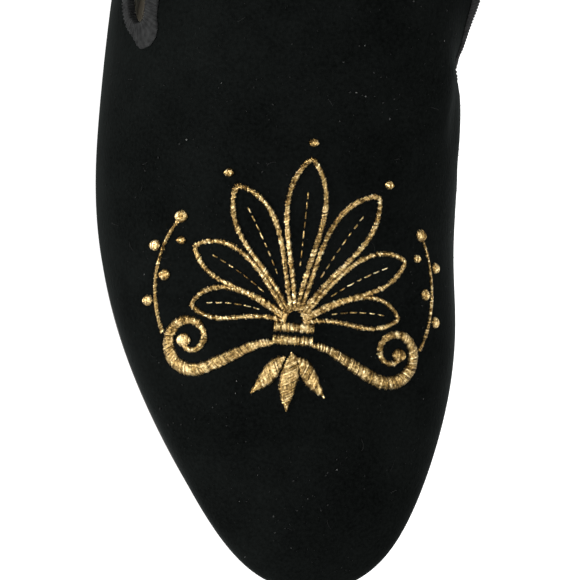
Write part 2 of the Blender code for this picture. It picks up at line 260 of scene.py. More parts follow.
def profile(d):
    """Height of the sole's underside: toe spring, flat forefoot, arch and heel seat."""
    spring = TOE_SPRING * np.clip((FLAT_FROM - d) / (FLAT_FROM - SOLE_TOE), 0, None) ** 2
    arch = HEEL_HEIGHT * smooth((d - FLAT_TO) / (SEAT_FROM - FLAT_TO))
    return spring + arch


def sole_edge(side, d, inset):
    """Plan point of the sole's outline, moved inwards square to it."""
    a = turn(d, SOLE_TOE, SOLE_LENGTH)
    curve = SOLE_CURVES[side]
    h = 0.01
    dx = (curve(a + h) - curve(a - h)) / (2 * h)
    dd = SOLE_LENGTH / 2 * np.sin(a)
    size = np.hypot(dx, dd)
    x = curve(a) - inset * side * dd / size
    along = np.asarray(d, float) + inset * side * dx / size
    return x, along


def upper_points(d, g):
    """Outer face of the lasted upper as x, d, z."""
    d, g = np.broadcast_arrays(np.asarray(d, float), np.asarray(g, float))
    a = turn(d, 0, LENGTH)
    lateral, medial, lateral_z, medial_z, ridge_x, ridge_z = [curve(a) for curve in SECTION_CURVES]
    inner = g > 0
    wide_x = np.where(inner, medial, lateral)
    wide_z = np.where(inner, medial_z, lateral_z)
    power = np.where(inner, ROUNDNESS[MEDIAL], ROUNDNESS[LATERAL])
    t = np.sin(np.clip(np.abs(g), 0, 1) * math.pi / 2)
    x = ridge_x + (wide_x - ridge_x) * t
    z = wide_z + (ridge_z - wide_z) * np.sqrt(np.clip(1 - t**power, 0, 1))
    u = np.clip((np.abs(g) - 1) / (SOLE_G - 1), 0, SOLE_OVERRUN)
    foot = d + SOLE_TOE * np.clip(1 - d / TOE_FADE, 0, 1)
    edges = [sole_edge(side, foot, FEATHER_INSET) for side in (MEDIAL, LATERAL)]
    foot_x, foot_d = np.where(inner, *edges)
    foot_z = profile(foot_d) + SOLE_THICK + GAP
    x = x + (foot_x - wide_x) * u**2
    along = d + (foot_d - d) * u**2
    z = z + (foot_z - wide_z) * u
    for side in (LATERAL, MEDIAL):
        behind = (d - NOTCH[side].d) / PINCH_ALONG
        below = (side * g - NOTCH[side].g) * GIRTH_MM / PINCH_ROUND
        x = x - side * NOTCH_PINCH[side] * np.exp(-(behind**2) - below**2)
    return np.stack([x, along, z], -1)


def tongue_points(d, g):
    """The upper with the free edges of the tongue flared behind the notches."""
    d, g = np.broadcast_arrays(np.asarray(d, float), np.asarray(g, float))
    points = upper_points(d, g)
    share = np.clip((np.abs(g) - FLARE_FROM_G) / (FLARE_FULL_G - FLARE_FROM_G), 0, None)
    weight = share**FLARE_CURL
    for side in (LATERAL, MEDIAL):
        run = np.clip(d - NOTCH[side].d, 0, None)
        reach = FLARE[side] * (1 - np.exp(-((run / FLARE_RUN) ** FLARE_POWER)))
        lift = np.where(np.sign(g) == side, reach * weight, 0)
        points[..., 0] += side * FLARE_OUT * lift
        points[..., 2] += FLARE_UP * lift
    return points


def notch_line(side, d):
    """Girth of the line that runs from the toe tip to a notch."""
    return TOE_G + (NOTCH[side].g - TOE_G) * smooth(np.asarray(d, float) / NOTCH[side].d)


def notch_opening(run):
    """Half the girth of the slit, round at its end, a run behind the notch."""
    return NOTCH_SLOPE / 2 * (np.sqrt(run**2 + 2 * run * NOTCH_BLUNT) - run)


def tongue_edge(side, d):
    """Girth of the tongue's free edge, or of the line that runs on from it to the toe."""
    run = np.clip(np.asarray(d, float) - NOTCH[side].d, 0, None)
    part = np.clip(run / (TONGUE_TIP - NOTCH[side].d), 0, 1)
    return (notch_line(side, d) - notch_opening(run)) * np.sqrt(1 - part**TONGUE_SQUARE)


def wing_edge(side, d):
    """Girth of a wing's topline, which falls from the notch to the sole."""
    reach = WING_TIP - NOTCH[side].d
    run = np.clip(np.asarray(d, float) - NOTCH[side].d, 0, None)
    rest = WING_TIP_G - NOTCH[side].g - WING_OPEN * notch_opening(reach)
    return notch_line(side, d) + WING_OPEN * notch_opening(run) + rest * (run / reach) ** WING_FALL


def girth_at(x, d):
    """Girth of the point of the upper that is seen from above at x and d."""
    lateral, medial, _, _, ridge_x, _ = [curve(turn(d, 0, LENGTH)) for curve in SECTION_CURVES]
    wide_x = np.where(x > ridge_x, medial, lateral)
    share = np.clip((x - ridge_x) / (wide_x - ridge_x), 0, 1)
    return np.where(x > ridge_x, 1, -1) * np.arcsin(share) * 2 / math.pi


# Soft creases of the vamp, each a trough between two points of d and g
Crease = namedtuple("Crease", "d_from g_from d_to g_to depth width")
CREASES = [Crease(*row) for row in (
    (119, 0.66, 103, 0.52, 0.45, 4.5),
    (112, 0.80, 98, 0.74, 0.3, 4.0),
    (124, -0.62, 108, -0.50, 0.5, 5.0),
    (104, -0.72, 92, -0.66, 0.35, 4.5),
)]
BANK_AT = 1.9
BANK_SHARE = 0.5


def crease_depth(d, g):
    """Height of the creases: troughs with a low bank on either side."""
    total = np.zeros(np.broadcast(d, g).shape)
    for c in CREASES:
        along = np.array([c.d_to - c.d_from, (c.g_to - c.g_from) * GIRTH_MM])
        size = np.linalg.norm(along)
        u = ((d - c.d_from) * along[0] + (g - c.g_from) * GIRTH_MM * along[1]) / size**2
        off = ((d - c.d_from) * along[1] - (g - c.g_from) * GIRTH_MM * along[0]) / size
        taper = np.clip(np.sin(math.pi * np.clip(u, 0, 1)), 0, 1)
        bank = np.exp(-(((np.abs(off) - BANK_AT * c.width) / c.width) ** 2))
        trough = np.exp(-((off / c.width) ** 2)) - BANK_SHARE * bank
        total = total - c.depth * taper * trough
    return total


def surface_frame(function, d, g):
    """Points, both slopes and the outward normals of a surface function."""
    h = 0.02
    k = 0.001
    by_d = (function(d + h, g) - function(d - h, g)) / (2 * h)
    by_g = (function(d, g + k) - function(d, g - k)) / (2 * k)
    return function(d, g), by_d, by_g, unit(np.cross(by_g, by_d))


def creased(function):
    """The surface function with the vamp's creases pressed in."""

    def points(d, g):
        d, g = np.broadcast_arrays(np.asarray(d, float), np.asarray(g, float))
        _, _, _, normal = surface_frame(function, np.clip(d, TIP_CLEAR, None), g)
        return function(d, g) + normal * crease_depth(d, g)[..., None]

    return points


def place(points):
    """Shape millimetres to the frame's metres."""
    points = np.asarray(points, float)
    return (points + np.array([CENTRE_X, -LENGTH / 2, 0.0])) * MM


def add_object(name, data):
    piece = bpy.data.objects.new(name, data)
    bpy.context.scene.collection.objects.link(piece)
    return piece


def make_piece(name, points, faces, materials, face_material=None):
    """One smooth mesh that rides on the shoe, from points in millimetres."""
    mesh = bpy.data.meshes.new(name)
    mesh.from_pydata(place(points).tolist(), [], faces)
    work = bmesh.new()
    work.from_mesh(mesh)
    bmesh.ops.recalc_face_normals(work, faces=work.faces[:])
    work.to_mesh(mesh)
    work.free()
    for material in materials:
        mesh.materials.append(material)
    if face_material is not None:
        mesh.polygons.foreach_set("material_index", np.asarray(face_material, np.int32))
    mesh.shade_smooth()
    piece = add_object(name, mesh)
    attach(piece, "root")
    return piece


class Skin:
    """Collects faces and joins points that coincide."""

    def __init__(self):
        self.points = []
        self.faces = []
        self.seen = {}

    def point(self, p):
        key = (round(p[0], 4), round(p[1], 4), round(p[2], 4))
        if key not in self.seen:
            self.seen[key] = len(self.points)
            self.points.append(key)
        return self.seen[key]

    def face(self, corners):
        ring = list(dict.fromkeys(corners))
        if len(ring) > 2:
            self.faces.append(ring)

    def grid(self, rows, closed=False):
        index = [[self.point(p) for p in row] for row in np.asarray(rows).tolist()]
        count = len(index[0])
        for low, high in zip(index, index[1:]):
            for j in range(count if closed else count - 1):
                k = (j + 1) % count
                self.face([low[j], low[k], high[k], high[j]])
        return index

    def tube(self, rings, cap_first, cap_last):
        index = self.grid(rings, True)
        if cap_first:
            self.face(index[0][::-1])
        if cap_last:
            self.face(index[-1])


def vertex_normals(points, faces):
    """Normal at every point, from the faces round it."""
    normals = np.zeros_like(points)
    for face in faces:
        a, b, c = points[face[0]], points[face[1]], points[face[2]]
        normal = np.cross(b - a, c - a)
        if len(face) > 3:
            normal = normal + np.cross(c - a, points[face[3]] - a)
        for k in face:
            normals[k] += normal
    return unit(normals)


def shell(points, normals, faces, outer, inner):
    """Closed wall between two depths under an open skin."""
    count = len(points)
    both = np.concatenate([points - outer[:, None] * normals, points - inner[:, None] * normals])
    edges = set()
    for face in faces:
        edges.update(zip(face, face[1:] + face[:1]))
    sheet = list(faces) + [[k + count for k in reversed(face)] for face in faces]
    for a, b in edges:
        if (b, a) not in edges:
            sheet.append([b, a, a + count, b + count])
    return both, sheet


def upper_skin():
    """Open outer face of the upper: vamp with tongue, and the two sides with their wings."""
    inner, outer = NOTCH[MEDIAL].d, NOTCH[LATERAL].d
    angles = np.linspace(0, float(turn(inner, 0, LENGTH)), FRONT_ROWS)
    front = LENGTH / 2 * (1 - np.cos(angles))
    notches = np.concatenate([inner + NOTCH_ROWS, [outer], outer + NOTCH_ROWS])
    further = outer + (TONGUE_TIP - outer) * np.sin(np.linspace(0, TONGUE_STOP, TONGUE_ROWS))
    tongue_rows = np.concatenate([front, notches, further[further > outer + TONGUE_ROWS_FROM]])
    behind = np.linspace(outer + WING_ROWS_FROM, WING_TIP, WING_ROWS)
    wing_rows = np.concatenate([front, notches, behind])
    skin = Skin()
    across = np.linspace(0, 1, TONGUE_COLUMNS)[None, :]
    lateral = -tongue_edge(LATERAL, tongue_rows)[:, None]
    medial = tongue_edge(MEDIAL, tongue_rows)[:, None]
    skin.grid(creased(tongue_points)(tongue_rows[:, None], lateral + (medial - lateral) * across))
    down = np.linspace(0, 1, WING_COLUMNS)[None, :]
    for side in (LATERAL, MEDIAL):
        edge = wing_edge(side, wing_rows)[:, None]
        girth = side * (edge + (SOLE_G - edge) * down)
        points = creased(upper_points)(wing_rows[:, None], girth)
        skin.grid(points if side == MEDIAL else points[:, ::-1])
    points = np.array(skin.points)
    return points, vertex_normals(points, skin.faces), skin.faces


# Materials
# On the gold thread the stored tone is partly painted glint, shade and reflection; on the lint it is the
# lint's own colour
TONE = "tone"
LEATHER_GRAIN = 0.00015


def set_inputs(node, **inputs):
    """Sets a node's own sockets; an underscore stands for a space in a socket's name."""
    for name, value in inputs.items():
        node.inputs[name.replace("_", " ")].default_value = value


class Look:
    """A material, and helpers that add nodes to it; textures lie in the shoe's own metres."""

    def __init__(self, name, **inputs):
        self.material = bpy.data.materials.new(name)
        self.material.use_nodes = True
        self.tree = self.material.node_tree
        self.shader = self.tree.nodes["Principled BSDF"]
        set_inputs(self.shader, **inputs)

    def node(self, kind, **inputs):
        node = self.tree.nodes.new("ShaderNode" + kind)
        set_inputs(node, **inputs)
        return node

    def link(self, output, node, name):
        self.tree.links.new(output, node.inputs[name])

    def noise(self, scale, detail=3.0, roughness=0.55, stretch=(1, 1, 1)):
        mapping = self.node("Mapping", Scale=stretch)
        noise = self.node("TexNoise", Scale=scale, Detail=detail, Roughness=roughness)
        self.link(self.node("TexCoord").outputs["Object"], mapping, "Vector")
        self.link(mapping.outputs["Vector"], noise, "Vector")
        return noise.outputs["Fac"]

    def cells(self, scale):
        cells = self.node("TexVoronoi", Scale=scale)
        self.link(self.node("TexCoord").outputs["Object"], cells, "Vector")
        return cells.outputs

    def tone(self):
        """The tone that is stored at the points of a piece."""
        tone = self.node("Attribute")
        tone.attribute_name = TONE
        return tone.outputs["Fac"]

    def mixed(self, share, first, second):
        both = self.node("Mix", Factor=share)
        self.link(first, both, "A")
        self.link(second, both, "B")
        return both.outputs["Result"]

    def colour(self, value, stops):
        """Colours the shader by a value, from places and their colours."""
        node = self.node("ValToRGB")
        elements = node.color_ramp.elements
        while len(elements) < len(stops):
            elements.new(0.5)
        for element, (at, colour) in zip(elements, stops):
            element.position = at
            element.color = (*colour, 1.0)
        self.link(value, node, "Fac")
        self.link(node.outputs["Color"], self.shader, "Base Color")

    def bump(self, *heights):
        """Chains bumps, each a height output, a strength and a distance in metres."""
        last = None
        for height, strength, distance in heights:
            node = self.node("Bump", Strength=strength, Distance=distance)
            self.link(height, node, "Height")
            if last is not None:
                self.link(last, node, "Normal")
            last = node.outputs["Normal"]
        self.link(last, self.shader, "Normal")


def velvet_material():
    look = Look("black_velvet", Roughness=0.95, Specular_IOR_Level=0.0)
    set_inputs(look.shader, Sheen_Weight=0.06, Sheen_Roughness=0.29, Sheen_Tint=(0.86, 0.95, 0.93, 1.0))
    cloudy = look.mixed(0.5, look.noise(60, 4.0), look.noise(1300, 2.0, 0.6))
    look.colour(cloudy, [(0.3, (0.0012, 0.0014, 0.0013)), (0.7, (0.0041, 0.0048, 0.0045))])
    nap = look.noise(1800, 2.0, 0.5, (1.0, 0.45, 1.0))
    brushed = look.noise(160, 3.0, 0.5, (1.0, 0.35, 1.0))
    look.bump((brushed, 0.25, 0.0006), (nap, 0.5, 0.0002))
    return look.material


def leather_material(name, dark, light, roughness, grain=900, gloss=0.35):
    """Leather with a cloudy tone and a fine grain, in cells a metre."""
    look = Look(name, Roughness=roughness, Specular_IOR_Level=gloss)
    look.colour(look.noise(45, 5.0), [(0.3, dark), (0.7, light)])
    cells = look.cells(grain)["Distance"]
    look.bump((cells, 0.35, LEATHER_GRAIN), (look.noise(grain), 0.2, LEATHER_GRAIN))
    return look.material


def grosgrain_material():
    look = Look("black_grosgrain", Roughness=0.85, Specular_IOR_Level=0.03)
    stops = [(0.3, (0.0090, 0.0092, 0.0092)), (0.7, (0.0195, 0.0199, 0.0197))]
    look.colour(look.noise(700, 2.0), stops)
    look.bump((look.noise(5000, 1.0), 0.3, 0.0001))
    return look.material


def gold_material():
    look = Look("gold_thread", Metallic=1.0, Roughness=0.32)
    stops = [
        (0.18, (0.055, 0.030, 0.008)),
        (0.45, (0.29, 0.184, 0.060)),
        (0.70, (0.64, 0.480, 0.228)),
        (0.92, (0.97, 0.85, 0.55)),
    ]
    # Colour from each stitch's stored tone mixed with small random cells: painted glints and painted
    # shade on the thread, from near-black to near-white gold
    look.colour(look.mixed(0.56, look.tone(), look.cells(2600.0)["Color"]), stops)
    look.bump((look.noise(3200, 2.0), 0.9, 0.00025))
    return look.material


def lint_material():
    look = Look("pale_lint", Roughness=0.9, Specular_IOR_Level=0.1)
    stops = [
        (0.0, (0.004, 0.0044, 0.0042)),
        (0.4, (0.0060, 0.0064, 0.0062)),
        (0.75, (0.0090, 0.0094, 0.0090)),
        (0.9, (0.014, 0.0145, 0.014)),
        (0.97, (0.032, 0.033, 0.032)),
        (1.0, (0.15, 0.15, 0.145)),
    ]
    look.colour(look.tone(), stops)
    return look.material


VELVET_LOOK = velvet_material()
LINING_LOOK = leather_material(
    "beige_lining", (0.25, 0.24, 0.203), (0.36, 0.346, 0.293), roughness=0.6, gloss=0.2
)
INSOLE_LOOK = leather_material(
    "beige_insole", (0.26, 0.231, 0.184), (0.34, 0.306, 0.248), roughness=0.7, gloss=0.08
)
SOLE_LOOK = leather_material(
    "sole_underside", (0.30, 0.17, 0.085), (0.44, 0.27, 0.14), roughness=0.4, grain=500
)
EDGE_LOOK = leather_material(
    "sole_edge_dressing", (0.010, 0.008, 0.007), (0.022, 0.016, 0.013), roughness=0.3, grain=700
)
TAPE_LOOK = grosgrain_material()
GOLD_LOOK = gold_material()
LINT_LOOK = lint_material()


def make_upper():
    """Velvet outside and leather inside, both skived thin towards the topline."""
    points, normals, faces = upper_skin()
    depth = wall_depth(topline_distance(points))
    at, sheet = shell(points, normals, faces, 0.0 * depth, VELVET_SHARE * depth)
    velvet = make_piece("velvet_upper", at, sheet, [VELVET_LOOK])
    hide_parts("upper")
    at, sheet = shell(points, normals, faces, VELVET_SHARE * depth + LINING_GAP, depth)
    make_piece("leather_lining", at, sheet, [LINING_LOOK])


def topline():
    """The topline as arrays: whether a point is on the tongue, its d and its g."""
    steps = np.linspace(0, 1, TOPLINE_STEPS) ** 2
    halves = []
    for side in (LATERAL, MEDIAL):
        start = NOTCH[side].d
        wing = (start + (TAPE_END - start) * steps)[::-1]
        flank_end = start + (TONGUE_TIP - start) * math.sin(FLANK_STOP)
        flank = (start + (flank_end - start) * np.sin(steps * math.pi / 2))[1:]
        halves.append(np.array([
            np.concatenate([np.zeros(len(wing)), np.ones(len(flank))]),
            np.concatenate([wing, flank]),
            side * np.concatenate([wing_edge(side, wing), tongue_edge(side, flank)]),
        ]))
    first, last = halves[0], halves[1][:, ::-1]
    share = np.linspace(0, 1, TIP_STEPS)[1:-1]
    tip = first[:, -1:] + (last[:, :1] - first[:, -1:]) * share
    on_tongue, d, g = np.concatenate([first, tip, last], 1)
    return on_tongue > 0.5, d, g


def collar(on_tongue):
    """Surface function of points on the topline: the tongue's or else the upper's."""
    return lambda d, g: np.where(on_tongue[:, None], tongue_points(d, g), upper_points(d, g))


def topline_distance(points):
    """Distance of every point from the topline."""
    on_tongue, ds, gs = topline()
    path = collar(on_tongue)(ds, gs)[::2]
    parts = np.array_split(points, DISTANCE_PARTS)
    return np.concatenate([np.linalg.norm(p[:, None] - path, axis=-1).min(1) for p in parts])


def wall_depth(distance):
    """Thickness of the upper at a distance from its topline."""
    return EDGE_WALL + (WALL - EDGE_WALL) * smooth(distance / SKIVE_RUN)


def even_topline(step):
    """The topline at even steps, with its surface function and the tape's width."""
    on_tongue, ds, gs = topline()
    points = collar(on_tongue)(ds, gs)
    run = np.concatenate([[0], np.cumsum(np.linalg.norm(np.diff(points, axis=0), axis=1))])
    at = np.linspace(0, run[-1], int(run[-1] / step) + 1)
    d = np.interp(at, run, ds)
    g = np.interp(at, run, gs)
    flag = np.interp(at, run, on_tongue.astype(float)) > 0.5
    notch_d = np.where(g > 0, NOTCH[MEDIAL].d, NOTCH[LATERAL].d)
    notch_g = np.where(g > 0, NOTCH[MEDIAL].g, NOTCH[LATERAL].g)
    far = np.hypot(d - notch_d, (np.abs(g) - notch_g) * GIRTH_MM) * np.where(flag, 1, -1)
    share = smooth(far / TAPE_NARROWS)
    mitre = np.where(g > 0, MITRE[MEDIAL], MITRE[LATERAL])
    corner = mitre * np.exp(-(((far - MITRE_AT) / MITRE_RUN) ** 2))
    wide = WING_TAPE_WIDTH + (TAPE_WIDTH - WING_TAPE_WIDTH) * share + corner
    return at, d, g, collar(flag), wide


def walk(function, d, g, way, length):
    """Goes a length over the surface from every point and returns the points and normals on the way."""
    stops = []
    for _ in range(TAPE_STEPS + 1):
        point, by_d, by_g, normal = surface_frame(function, d, g)
        stops.append((point, normal))
        way = unit(way - normal * np.sum(way * normal, -1, keepdims=True))
        dd = np.sum(by_d * by_d, -1)
        gg = np.sum(by_g * by_g, -1)
        dg = np.sum(by_d * by_g, -1)
        vd = np.sum(by_d * way, -1)
        vg = np.sum(by_g * way, -1)
        scale = length / TAPE_STEPS / (dd * gg - dg * dg)
        d = d + scale * (gg * vd - dg * vg)
        g = g + scale * (dd * vg - dg * vd)
    return stops


def make_binding():
    """Ribbed tape folded over the topline, as closed rings across it."""
    at, d, g, function, wide = even_topline(RIB_PITCH / RIB_STEPS)
    point, _, _, normal = surface_frame(function, d, g)
    tangent = unit(np.gradient(point, axis=0))
    into = unit(np.cross(tangent, normal))
    wave = 0.5 + 0.5 * np.cos(2 * math.pi * at / RIB_PITCH)
    stops = walk(function, d, g, into, wide + PICOT * wave)
    walls = [wall_depth(wide * k / TAPE_STEPS)[:, None] for k in range(TAPE_STEPS + 1)]
    near = TAPE_GAP
    far = TAPE_GAP + TAPE_THICK + RIB_HEIGHT * wave[:, None]
    beads = {TAPE_STEPS: -HEM_DROP, TAPE_STEPS - 1: 0.5 * PICOT * wave[:, None]}
    fold = [(math.cos(math.radians(a)), math.sin(math.radians(a))) for a in FOLD_ANGLES]

    def raised(k, height):
        return stops[k][0] + stops[k][1] * height

    ring = [raised(k, far + beads.get(k, 0.0)) for k in range(TAPE_STEPS, -1, -1)]
    ring += [point + normal * far * c - into * far * s for c, s in fold]
    ring += [point - normal * EDGE_WALL * share - into * far for share in (0.0, 0.5, 1.0)]
    ring += [point - normal * (EDGE_WALL + far * c) - into * far * s for c, s in fold[::-1]]
    ring += [raised(k, -walls[k] - far) for k in range(0, TAPE_STEPS + 1, 2)]
    ring += [raised(k, -walls[k] - near) for k in range(TAPE_STEPS, -1, -4)]
    ring.append(point - normal * (EDGE_WALL + near) - into * near)
    ring.append(point + normal * near - into * near)
    ring += [raised(k, near) for k in range(0, TAPE_STEPS + 1, 4)]
    skin = Skin()
    skin.tube(np.stack(ring, 1), True, True)
    tape = make_piece("grosgrain_binding", skin.points, skin.faces, [TAPE_LOOK])
    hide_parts("topline_binding")


def level_points(left, right, height, shares):
    """Points of one level at shares of the way from its left edge to its right edge."""
    points = []
    for c in shares:
        x = left[0] + (right[0] - left[0]) * c
        along = left[1] + (right[1] - left[1]) * c
        points.append((x, along, height(along)))
    return points


def slab_rings(stations, levels):
    """Closed rings across the sole; a level is an inset and a height function, from foot to top."""
    rings = []
    shares = np.linspace(0, 1, SLAB_COLUMNS)
    for d in stations:
        sides = []
        for inset, height in levels:
            sides.append((sole_edge(LATERAL, d, inset(d)), sole_edge(MEDIAL, d, inset(d)), height))
        ring = level_points(*sides[0], shares)
        ring += [(right[0], right[1], height(right[1])) for _, right, height in sides[1:-1]]
        ring += level_points(*sides[-1], shares[::-1])
        ring += [(left[0], left[1], height(left[1])) for left, _, height in sides[-2:0:-1]]
        rings.append(ring)
    return np.array(rings, float)


def sole_stations(first, count):
    """Stations from an angle of the sole's turn to its back end, closer towards the ends."""
    return SOLE_TOE + SOLE_LENGTH / 2 * (1 - np.cos(np.linspace(first, math.pi, count)))


def rounded(foot_inset, top_inset, low, high, radius, grooves=()):
    """Levels of a slab's edge: rounded at foot and top, with optional grooves at shares of its height."""
    arc = []
    for angle in ROUND_ANGLES:
        a = math.radians(angle)
        arc.append((radius * (1 - math.sin(a)), radius * (1 - math.cos(a))))
    levels = [(lambda d, c=c: foot_inset(d) + c, lambda d, h=h: low(d) + h) for c, h in arc]
    for share in grooves:
        for offset, depth in ((-GROOVE_HALF, 0.0), (0.0, GROOVE_DEPTH), (GROOVE_HALF, 0.0)):
            levels.append((
                lambda d, s=share, c=depth: foot_inset(d) + (top_inset(d) - foot_inset(d)) * s + c,
                lambda d, s=share, o=offset: low(d) + (high(d) - low(d)) * s + o,
            ))
    levels += [(lambda d, c=c: top_inset(d) + c, lambda d, h=h: high(d) - h) for c, h in arc[::-1]]
    return levels


def make_slab(name, node, stations, levels, materials, breast=False):
    """A layer of the sole; a second material goes on its flat faces, and a breast closes its front."""
    skin = Skin()
    skin.tube(slab_rings(stations, levels), breast, False)
    kinds = None
    if len(materials) > 1:
        points = np.array(skin.points)
        kinds = []
        for face in skin.faces:
            ring = points[face]
            normal = np.cross(ring[1] - ring[0], ring[2] - ring[0])
            flat = abs(normal[2]) > FLAT_COSINE * np.linalg.norm(normal)
            kinds.append(1 if flat else 0)
    piece = make_piece(name, skin.points, skin.faces, materials, kinds)
    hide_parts(node)


def make_lining_foot():
    """The strip of lining that is turned in between outsole and insole, from wing to wing."""
    stations = sole_stations(0, SOLE_STATIONS)
    stations = stations[stations < LINING_FOOT_END]
    path = [(LATERAL, d) for d in stations[::-1]] + [(MEDIAL, d) for d in stations[1:]]
    low, high = LINING_FOOT_LOW, LINING_FOOT_HIGH
    rings = []
    for side, d in path:
        outer = sole_edge(side, d, LINING_FOOT_OUTER)
        inner = sole_edge(side, d, LINING_FOOT_INNER)
        corners = ((outer, low), (outer, high), (inner, high), (inner, low))
        rings.append([(x, along, profile(along) + SOLE_THICK + rise) for (x, along), rise in corners])
    skin = Skin()
    skin.tube(rings, True, True)
    make_piece("lining_foot", skin.points, skin.faces, [LINING_LOOK])


def make_sole():
    """Insole, outsole and heel, each a slab inside the sole's outline."""

    def insole_inset(d):
        spread = smooth((d - INSOLE_WIDENS[0]) / (INSOLE_WIDENS[1] - INSOLE_WIDENS[0]))
        return INSOLE_INSET_FRONT + (INSOLE_INSET_HEEL - INSOLE_INSET_FRONT) * spread

    def above(*rises):
        return lambda d: sum(rises, profile(d))

    whole = sole_stations(0, SOLE_STATIONS)
    heights = (above(SOLE_THICK, GAP), above(SOLE_THICK, GAP, INSOLE_THICK))
    levels = rounded(insole_inset, insole_inset, *heights, INSOLE_ROUND)
    make_slab("leather_insole", "insole", whole, levels, [INSOLE_LOOK])
    insets = (lambda d: SOLE_FOOT_INSET, lambda d: 0.0)
    levels = rounded(*insets, profile, above(SOLE_THICK), SOLE_ROUND, SOLE_GROOVES)
    make_slab("leather_outsole", "outsole", whole, levels, [EDGE_LOOK, SOLE_LOOK])
    stations = sole_stations(float(turn(HEEL_BREAST, SOLE_TOE, SOLE_LENGTH)), HEEL_STATIONS)
    insets = (lambda d: HEEL_FOOT_INSET, lambda d: HEEL_TOP_INSET)
    levels = rounded(*insets, lambda d: 0.0 * d, above(-GAP), HEEL_ROUND, HEEL_GROOVES)
    make_slab("stacked_heel", "heel", stations, levels, [EDGE_LOOK], True)


# Gold ornament on the vamp, in its own millimetres: a to the right, b towards the instep
ORNAMENT_D = 69.9
ORNAMENT_X = -1.1
ORNAMENT_DRIFT = -0.03
ORNAMENT_TURN = math.radians(3.0)
VAMP_SLOPE = 1.044
CLOTH_REACH = 42.0
CLOTH_STEP = 0.5
CLOTH_SIDE_G = 0.98
CLOTH_COLUMNS = 400
SATIN_STEP = 0.34
DOT_STEP = 0.24
THREAD = 0.175
RAGGED = 0.20
DOT_RAGGED = 0.07
STITCH_SEED = 11
STITCH_LIFT = 0.22
STITCH_SINK = 0.12
STITCH_SHARES = np.array([0.0, 0.14, 0.35, 0.65, 0.86, 1.0])
STITCH_TAPER = np.array([0.6, 0.95, 1, 1, 0.95, 0.6])
SATIN_PAD = 0.3
SATIN_PAD_TO = 1.8
RUN_STEP = 0.1
LIFT_RANGE = (0.85, 1.15)
THREAD_RANGE = (0.88, 1.12)
THREAD_SIDES = 5
THREAD_FLAT = 0.8
# The stitch tone is partly random thread colour and partly painted glint and shade; its slow drift along
# the strokes is painted reflection
THREAD_TONE_AND_GLINT_SPREAD = 0.3
PAINTED_REFLECTION_DRIFT = 0.02
DRIFT_STITCHES = 25
CURVE_STEPS = 80
LOBE_STEPS = 90
VEIN_STEPS = 40
SPIRAL_STEPS = 160
ROOT = np.array([0.0, -9.0])
Lobe = namedtuple("Lobe", "angle length width")
LOBES = [Lobe(0, 38, 8.6), Lobe(24, 35, 8.4), Lobe(48, 30, 8.0), Lobe(71, 24.5, 7.2)]
LOBE_FROM = 0.1
LOBE_LINE = 0.62
VEIN = (0.36, 0.86)
VEIN_STITCH = 1.5
VEIN_GAP = 0.8
TIP_DOT = 1.0
TIP_DOT_OFF = 3.6
TIP_DOT_BELOW = 60
BAND_HALF = 1.15
CURL_DOT = 1.7
BERRY = 1.35
BERRIES = ((0.30, 2.3), (0.52, -2.3), (0.74, 2.3))
BUD = 1.5


def on_vamp(flat):
    """Points and normals of the ornament's places, by length along its axis and by girth from it."""
    run = np.arange(-CLOTH_REACH, CLOTH_REACH + CLOTH_STEP, CLOTH_STEP)
    d = ORNAMENT_D + run / VAMP_SLOPE
    axis = ORNAMENT_X + ORNAMENT_DRIFT * run
    girths = np.linspace(-CLOTH_SIDE_G, CLOTH_SIDE_G, CLOTH_COLUMNS)
    rows = upper_points(d[:, None], girths[None, :])
    size = np.linalg.norm(np.diff(rows, axis=1), axis=-1)
    arc = np.concatenate([np.zeros((len(d), 1)), np.cumsum(size, axis=1)], 1)
    g = np.array([
        np.interp(run + np.interp(girth_at(x, at), girths, row), row, girths)
        for x, at, row in zip(axis, d, arc)
    ])
    points, _, _, normals = surface_frame(creased(upper_points), d[:, None], g)
    c, s = math.cos(ORNAMENT_TURN), math.sin(ORNAMENT_TURN)
    a = flat[..., 0] * c + flat[..., 1] * s
    b = flat[..., 1] * c - flat[..., 0] * s
    u = (np.stack([b, a], -1) + CLOTH_REACH) / CLOTH_STEP
    low = np.clip(u.astype(int), 0, len(points) - 2)
    f = (u - low)[..., None]
    i, j = low[..., 0], low[..., 1]
    fi, fj = f[..., 0, :], f[..., 1, :]
    found = []
    for grid in (points, normals):
        first = grid[i, j] * (1 - fj) + grid[i, j + 1] * fj
        last = grid[i + 1, j] * (1 - fj) + grid[i + 1, j + 1] * fj
        found.append(first * (1 - fi) + last * fi)
    return found[0], unit(found[1])


def resample(path, step):
    """A path at even steps, and their shares of its length."""
    run = np.concatenate([[0], np.cumsum(np.linalg.norm(np.diff(path, axis=0), axis=1))])
    at = np.linspace(0, run[-1], max(int(run[-1] / step), 1) + 1)
    return np.stack([np.interp(at, run, path[:, k]) for k in (0, 1)], -1), at / run[-1]


def bezier(p0, p1, p2, p3):
    """Curve from the first point to the last, drawn towards the two between."""
    t = np.linspace(0, 1, CURVE_STEPS)[:, None]
    p0, p1, p2, p3 = (np.array(p, float) for p in (p0, p1, p2, p3))
    return p0 * (1 - t) ** 3 + 3 * p1 * t * (1 - t) ** 2 + 3 * p2 * t**2 * (1 - t) + p3 * t**3


def spiral(centre, radii, angles):
    """Curl between two radii and two angles in degrees."""
    t = np.linspace(0, 1, SPIRAL_STEPS)
    radius = radii[0] + (radii[1] - radii[0]) * t**0.8
    angle = np.radians(angles[0] + (angles[1] - angles[0]) * t)
    return np.array(centre) + np.stack([radius * np.cos(angle), radius * np.sin(angle)], -1)


